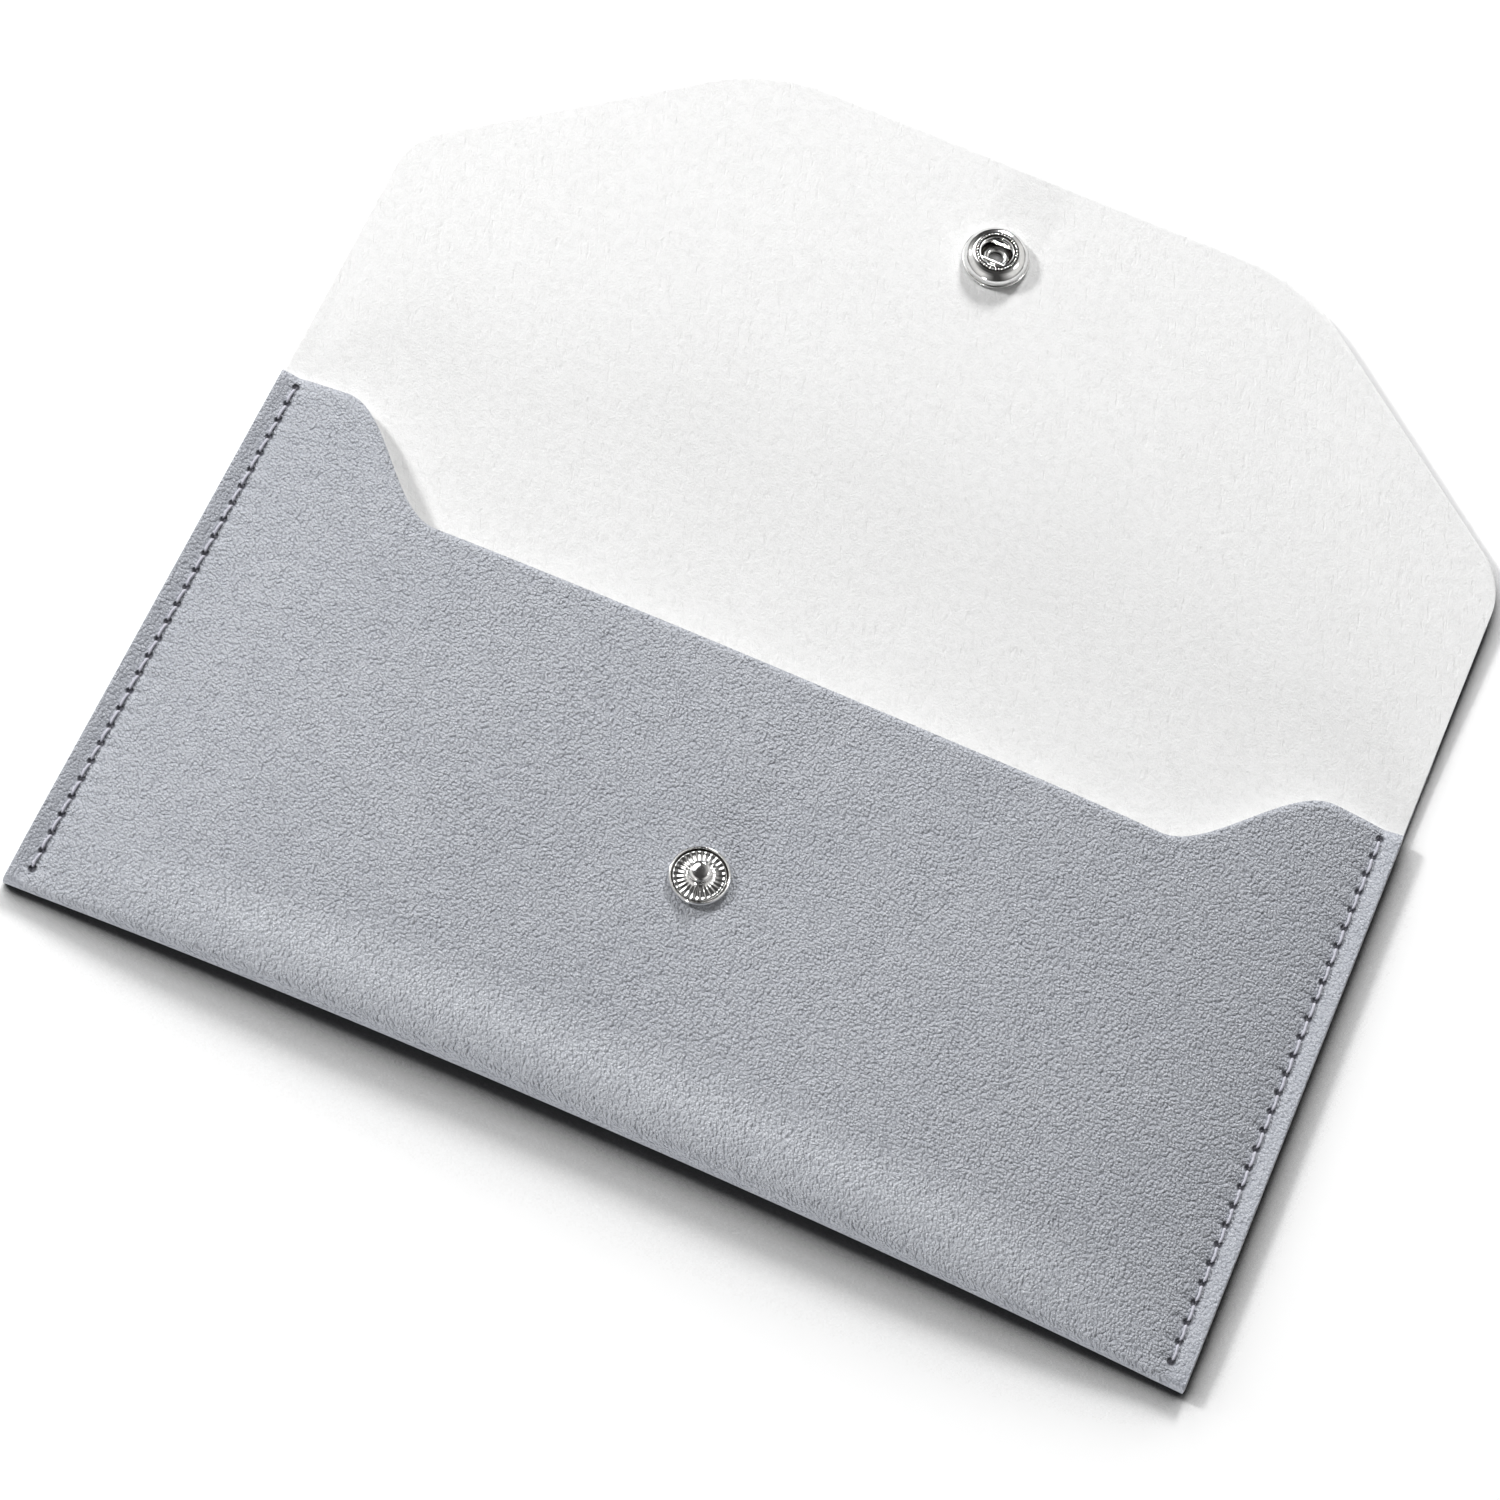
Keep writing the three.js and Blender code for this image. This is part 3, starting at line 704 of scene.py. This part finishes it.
def meshPiece(name, vertices, faces, finish):
    mesh = bpy.data.meshes.new(name)
    mesh.from_pydata(vertices, [], faces)
    mesh.materials.append(finish)
    mesh.polygons.foreach_set("use_smooth", [True] * len(mesh.polygons))
    tidyNormals(mesh)
    piece = bpy.data.objects.new(name, mesh)
    bpy.context.scene.collection.objects.link(piece)
    return piece


# Snap pieces

def roundedProfile(corners, cut=0.3):
    # each corner of a profile is cut by a short curve, as a press leaves it
    points = [Vector(corners[0])]
    for before, here, after in zip(corners, corners[1:], corners[2:]):
        here = Vector(here)
        toBefore = Vector(before) - here
        toAfter = Vector(after) - here
        reach = min(toBefore.length, toAfter.length) * cut
        start = here + toBefore.normalized() * reach
        stop = here + toAfter.normalized() * reach
        for share in (0, 0.25, 0.5, 0.75, 1):
            points.append(start.lerp(here, share).lerp(here.lerp(stop, share), share))
    points.append(Vector(corners[-1]))
    return points


def turnedPiece(name, corners, finish, wave=None):
    # corners run from the axis round the profile to the axis, or close on themselves
    closed = corners[0][0] > 0
    profile = roundedProfile(corners + [corners[1]] if closed else corners)
    if closed:
        profile = profile[1:-1]
    steps = snap["steps"]
    vertices = []
    rings = []
    for point in profile:
        if point.x < 1e-6:
            rings.append([len(vertices)])
            vertices.append((0, 0, point.y * mm))
            continue
        ring = []
        for s in range(steps):
            angle = 2 * math.pi * s / steps
            height = point.y + (wave(point.x, point.y, angle) if wave else 0)
            ring.append(len(vertices))
            vertices.append((point.x * math.cos(angle) * mm, point.x * math.sin(angle) * mm, height * mm))
        rings.append(ring)
    pairs = list(zip(rings, rings[1:]))
    if closed:
        pairs.append((rings[-1], rings[0]))
    faces = []
    for low, high in pairs:
        for s in range(steps):
            t = (s + 1) % steps
            if len(low) == 1 and len(high) == 1:
                continue
            if len(low) == 1:
                faces.append((low[0], high[t], high[s]))
            elif len(high) == 1:
                faces.append((low[s], low[t], high[0]))
            else:
                faces.append((low[s], low[t], high[t], high[s]))
    return meshPiece(name, vertices, faces, finish)


metalLook = {
    "nickel": (0.80, 0.80, 0.795, 1),
    "shade": (0.62, 0.62, 0.62, 1),
    "rough": 0.07,
    "wire": (0.72, 0.715, 0.70, 1),
    # colour of the painted shade in grooves, bores and the seat under the beads
    "paintedShade": (0.06, 0.055, 0.05, 1),
}


def metalFinish(name, colour, rough, paintedShade):
    material, tree = newMaterial(name)
    place = millimetres(tree)
    cloud = noise(tree, place, 1.3, 3.0)
    scratch = addNode(tree, "ShaderNodeMapping", {"Vector": place, "Scale": (9, 0.9, 2)}).outputs[0]
    lines = noise(tree, scratch, 2.0, 3.0, 0.7)
    tone = mixColour(tree, spreadOver(tree, cloud, 0.35, 0.8, 0.0, 0.5), colour, metalLook["shade"])
    split = axes(tree, place)
    squares = calc(tree, "ADD", times(tree, split[0], split[0]), times(tree, split[1], split[1]))
    radius = calc(tree, "SQRT", squares)
    # painted shade: each zone is darkened as a recess in shade would look
    for inner, outer, low, high in paintedShade:
        zone = times(tree, spreadOver(tree, radius, inner, inner + 0.08),
                    spreadOver(tree, radius, outer, outer - 0.08))
        zone = times(tree, zone, spreadOver(tree, split[2], low, low + 0.1))
        zone = times(tree, zone, spreadOver(tree, split[2], high, high - 0.06))
        tone = mixColour(tree, zone, tone, metalLook["paintedShade"])
    roughness = spreadOver(tree, lines, 0.3, 0.75, rough * 0.7, rough * 1.9)
    bump = relief(tree, lines, 0.06, 0.00001)
    shader = addNode(tree, "ShaderNodeBsdfPrincipled",
                     {"Base Color": tone, "Metallic": 1.0, "Roughness": roughness, "Normal": bump})
    finishWith(tree, shader)
    return material


def placeOnPocket(piece, height):
    piece.location = (0, (snap["studHeight"] - originShift) * mm, height * mm)
    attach(piece, pocketBody)


def placeOnFlap(piece, height):
    # height is counted from the hinge line, square to the tilted flap
    tilt = Matrix.Rotation(math.radians(sheet["restTilt"]), 4, "X")
    hinge = Matrix.Translation((0, (sheet["foldHeight"] - originShift) * mm, hingeHeight * mm))
    piece.matrix_world = hinge @ tilt @ Matrix.Translation((0, snapReach * mm, height * mm))
    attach(piece, flapBody)


def makeStud(finish):
    dish = snap["studRadius"] - 0.5
    low = snap["studRim"] * 0.42

    def flutes(radius, height, angle):
        if not (snap["headRadius"] < radius < dish - 0.1) or height < 0.2 or height > 1.0:
            return 0.0
        fade = min(1.0, (radius - snap["headRadius"]) / 0.6) * min(1.0, (dish - 0.1 - radius) / 0.25)
        return snap["fluteDepth"] * fade * abs(math.cos(snap["flutes"] * angle / 2))

    corners = [(0, 2.1), (1.05, 2.1), (1.05, 0), (4.4, 0), (4.72, 0.12), (4.78, 0.5), (4.62, 0.8),
               (4.5, 0.86), (4.36, 0.78), (4.28, 0.3), (dish - 0.1, 0.24), (4.02, 0.42), (3.5, low),
               (2.9, low + 0.02), (2.35, low + 0.1), (1.95, low + 0.26), (1.62, 0.95), (1.38, 1.4),
               (snap["neckRadius"], snap["neckHeight"]), (1.5, 2.0), (snap["headRadius"], 2.24),
               (1.6, 2.46), (1.3, 2.64), (0.75, 2.72), (0, snap["studTop"])]
    piece = turnedPiece("snapStud", corners, finish, flutes)
    placeOnPocket(piece, frontOuter + snap["seat"])
    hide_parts("snap_stud")


def makePost(finish):
    corners = [(0, -0.5), (2.2, -0.5), (3.9, -0.42), (4.4, -0.3), (4.5, -0.15), (4.35, 0), (0.75, 0),
               (0.75, 2.75), (0.55, 3.0), (0, 3.0)]
    piece = turnedPiece("studPost", corners, finish)
    placeOnPocket(piece, sheet["thick"] + sheet["parting"] + sheet["crown"] - snap["seat"])
    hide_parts("stud_post")


def makeSocket(finish):
    dome = []
    for angle in np.linspace(0, math.pi / 2, 9)[:-1]:
        dome.append((snap["domeMiddle"] + snap["domeReach"] * math.cos(angle),
                     snap["domeBase"] + snap["domeRise"] * math.sin(angle)))
    top = snap["seatTop"]
    bore = snap["bore"]
    corners = [(1.8, 0), (5.25, 0), (5.46, 0.08), (5.52, 0.24), (5.48, 0.4), (5.38, 0.47), (5.31, 0.44)]
    corners += dome + [(3.3, top), (2.85, top), (2.72, top + 0.02), (bore + 0.02, top - 0.04),
                       (bore, top - 0.14), (3.75, 2.27), (3.75, 1.63), (bore, 1.62), (bore, 0.35),
                       (1.8, 0.35)]
    piece = turnedPiece("snapSocket", corners, finish)
    made = bmesh.new()
    made.from_mesh(piece.data)
    for k in range(snap["beads"]):
        angle = 2 * math.pi * k / snap["beads"]
        place = Vector((snap["beadRing"] * math.cos(angle), snap["beadRing"] * math.sin(angle), top)) * mm
        bmesh.ops.create_icosphere(made, subdivisions=2, radius=snap["beadRadius"] * mm,
                                   matrix=Matrix.Translation(place))
    made.to_mesh(piece.data)
    made.free()
    piece.data.polygons.foreach_set("use_smooth", [True] * len(piece.data.polygons))
    placeOnFlap(piece, snap["seat"] - sheet["foldRadius"])
    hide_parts("snap_socket")


def makeSpring(finish):
    bend = snap["springReach"] - snap["springBar"]
    slit = math.pi / 8
    points = []
    for angle in np.linspace(math.pi + slit, 1.5 * math.pi, 10):
        points.append((-bend + snap["springBar"] * math.cos(angle), snap["springBar"] * math.sin(angle)))
    for angle in np.linspace(-math.pi / 2, math.pi / 2, 20):
        points.append((bend + snap["springBar"] * math.cos(angle), snap["springBar"] * math.sin(angle)))
    for angle in np.linspace(math.pi / 2, math.pi - slit, 10):
        points.append((-bend + snap["springBar"] * math.cos(angle), snap["springBar"] * math.sin(angle)))
    sides = 12
    vertices = []
    for k, (x, y) in enumerate(points):
        before = Vector(points[max(k - 1, 0)])
        after = Vector(points[min(k + 1, len(points) - 1)])
        along = (after - before).normalized()
        out = Vector((along.y, -along.x))
        for s in range(sides):
            angle = 2 * math.pi * s / sides
            wide = snap["wire"] * math.cos(angle)
            vertices.append(((x + out.x * wide) * mm, (y + out.y * wide) * mm,
                             snap["wire"] * math.sin(angle) * mm))
    faces = []
    for k in range(len(points) - 1):
        for s in range(sides):
            t = (s + 1) % sides
            faces.append((k * sides + s, k * sides + t, (k + 1) * sides + t, (k + 1) * sides + s))
    faces.append(tuple(range(sides)))
    faces.append(tuple((len(points) - 1) * sides + s for s in range(sides)))
    piece = meshPiece("socketSpring", vertices, faces, finish)
    placeOnFlap(piece, snap["seat"] + snap["springHeight"] - sheet["foldRadius"])
    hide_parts("socket_spring")


def makeCap(finish):
    # dome below the flap, tube up through it, rolled over the socket's floor
    roll = sheet["thick"] + 2 * snap["seat"] + 0.35 + 0.1
    corners = [(0, -1.3), (1.6, -1.28), (2.9, -1.19), (4.1, -1.02), (5.1, -0.78), (5.8, -0.52),
               (6.16, -0.3), (6.24, -0.14), (6.1, -0.02), (5.8, 0), (1.5, 0), (1.5, roll), (1.95, roll),
               (2.13, roll + 0.12), (2.1, roll + 0.3), (1.85, roll + 0.4), (1.45, roll + 0.38),
               (1.18, roll + 0.26), (1.1, roll + 0.05), (1.1, 0.1), (0.9, 0), (0, 0)]
    piece = turnedPiece("snapCap", corners, finish)
    placeOnFlap(piece, -hingeHeight - snap["seat"])
    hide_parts("snap_cap")


def makeFloor():
    material, tree = newMaterial("paleFloor")
    place = millimetres(tree)
    cloud = noise(tree, place, 0.01, 2.0)
    share = spreadOver(tree, cloud, 0.3, 0.7, 0.0, 0.3)
    tone = mixColour(tree, share, light["floorTone"] + [1], light["floorShade"] + [1])
    path = addNode(tree, "ShaderNodeLightPath").outputs
    seen = calc(tree, "ADD", path["Is Camera Ray"], path["Is Glossy Ray"])
    seen = calc(tree, "ADD", seen, path["Is Transmission Ray"], clamp=True)
    side = light["shadeFrom"]
    facing = addNode(tree, "ShaderNodeCombineXYZ", {0: side[0], 1: side[1], 2: side[2]}).outputs[0]
    # painted shadow: the floor's seen colour darkens where ambient occlusion, aimed towards shadeFrom,
    # meets the wallet
    openness = addNode(tree, "ShaderNodeAmbientOcclusion",
                       {"Normal": facing, "Distance": light["shadeReach"]}, samples=8).outputs["AO"]
    bright = mixColour(tree, spreadOver(tree, openness, 0.56, 0.92), [light["shadeTone"]] * 3 + [1],
                       [light["floorGain"]] * 3 + [1])
    seenTone = mixColour(tree, seen, tone, bright)
    shader = addNode(tree, "ShaderNodeBsdfDiffuse", {"Color": seenTone})
    finishWith(tree, shader)
    half = light["floorSize"] / 2
    corners = [(-half, -half, 0), (half, -half, 0), (half, half, 0), (-half, half, 0)]
    floor = meshPiece("studioFloor", corners, [(0, 1, 2, 3)], material)


def makeSky():
    world = bpy.data.worlds.new("softStudio")
    world.use_nodes = True
    tree = world.node_tree
    tree.nodes.clear()
    place = addNode(tree, "ShaderNodeTexCoord").outputs["Generated"]
    split = axes(tree, place)
    ring = times(tree, spreadOver(tree, split[2], -0.05, 0.35), spreadOver(tree, split[2], 0.98, 0.75))
    heading = calc(tree, "ARCTAN2", split[1], split[0])
    turned = calc(tree, "ADD", times(tree, heading, 2.0), light["screenTurn"])
    screens = calc(tree, "COSINE", turned)
    ring = times(tree, ring, spreadOver(tree, screens, -0.95, 0.1))
    soft = addNode(tree, "ShaderNodeBackground", {"Color": (1, 1, 1, 1), "Strength": light["sky"]})
    mirrored = spreadOver(tree, ring, 0.0, 1.0, light["darkMirror"], light["brightMirror"])
    around = addNode(tree, "ShaderNodeBackground", {"Color": (1, 0.99, 0.97, 1), "Strength": mirrored})
    white = addNode(tree, "ShaderNodeBackground", {"Color": (1, 1, 1, 1), "Strength": 1.0})
    path = addNode(tree, "ShaderNodeLightPath").outputs
    lit = addNode(tree, "ShaderNodeMixShader", {0: path["Is Glossy Ray"], 1: soft.outputs[0],
                                                2: around.outputs[0]})
    seen = calc(tree, "ADD", path["Is Camera Ray"], path["Is Transmission Ray"], clamp=True)
    mixed = addNode(tree, "ShaderNodeMixShader", {0: seen, 1: lit.outputs[0], 2: white.outputs[0]})
    output = addNode(tree, "ShaderNodeOutputWorld")
    tree.links.new(mixed.outputs[0], output.inputs[0])
    bpy.context.scene.world = world


bpy.context.scene.view_settings.view_transform = "Standard"
makeCamera()
makeSky()
makeFloor()
for lampName, (place, width, watts) in light["lamps"].items():
    makeLamp(lampName, place, width, watts)
print("wallet: camera, floor and lamps")

leather, flatArea = makeLeather()
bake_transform(leather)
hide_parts("pocket", "flap")

thread = threadFinish()
seamTop = 2 * sheet["thick"] + sheet["parting"]
needleFace = seamTop - sheet["pressDepth"] + stitch["radius"] + stitch["lift"]
bobbinFace = stitch["radius"] + stitch["lift"]
for sideName, side in (("left", -1), ("right", 1)):
    makeThread(sideName + "NeedleStitches", sideName + "_needle_thread",
               side, needleFace, stitch["needleDip"], thread)
    makeThread(sideName + "BobbinStitches", sideName + "_bobbin_thread",
               side, bobbinFace, stitch["bobbinDip"], thread)
print("wallet: stitches")

nickel = metalFinish("brightNickel", metalLook["nickel"], metalLook["rough"], [])
springSteel = metalFinish("springSteel", metalLook["wire"], metalLook["rough"] * 1.4, [])
makeStud(metalFinish("studNickel", metalLook["nickel"], metalLook["rough"], snap["studPaintedShade"]))
makePost(nickel)
makeSocket(metalFinish("socketNickel", metalLook["nickel"], metalLook["rough"], snap["socketPaintedShade"]))
makeSpring(springSteel)
makeCap(metalFinish("capNickel", metalLook["nickel"], metalLook["rough"], snap["capPaintedShade"]))
print("wallet: snap")

print("wallet: done")
